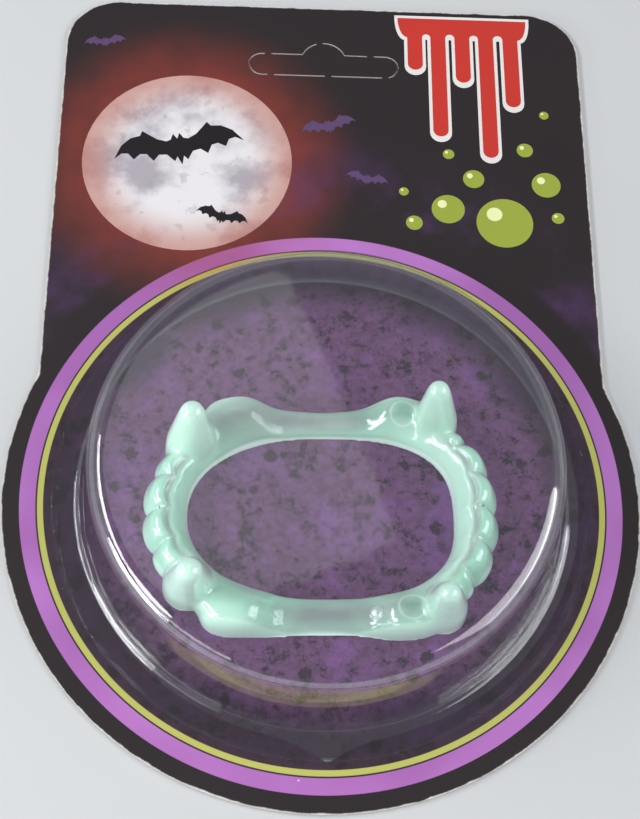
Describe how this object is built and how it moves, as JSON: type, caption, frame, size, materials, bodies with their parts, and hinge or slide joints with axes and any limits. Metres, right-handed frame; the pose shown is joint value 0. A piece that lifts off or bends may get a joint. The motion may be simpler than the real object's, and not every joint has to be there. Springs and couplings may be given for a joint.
{
  "type": "vampire fang denture on a blister card",
  "caption": "One-piece soft plastic fang denture for a fancy dress mouth, lying under a clear round blister on a backing card with a hanging slot.",
  "frame": {"origin": "centre of the card's round part, on the card's flat back face", "axes": "+Z out of the card's printed face towards the blister's top, +Y towards the hanging slot, +X to the right as seen from the printed face"},
  "size_m": [0.1192, 0.1741, 0.0206],
  "materials": {
    "glow_plastic": "translucent mint glow plastic, smooth moulded",
    "clear_blister": "clear thermoformed sheet, glossy",
    "printed_card": "varnished printed board, black with purple and lime rings"
  },
  "bodies": {
    "root": {"denture": "glow_plastic", "blister": "clear_blister", "backing_card": "printed_card"}
  },
  "joints": []
}
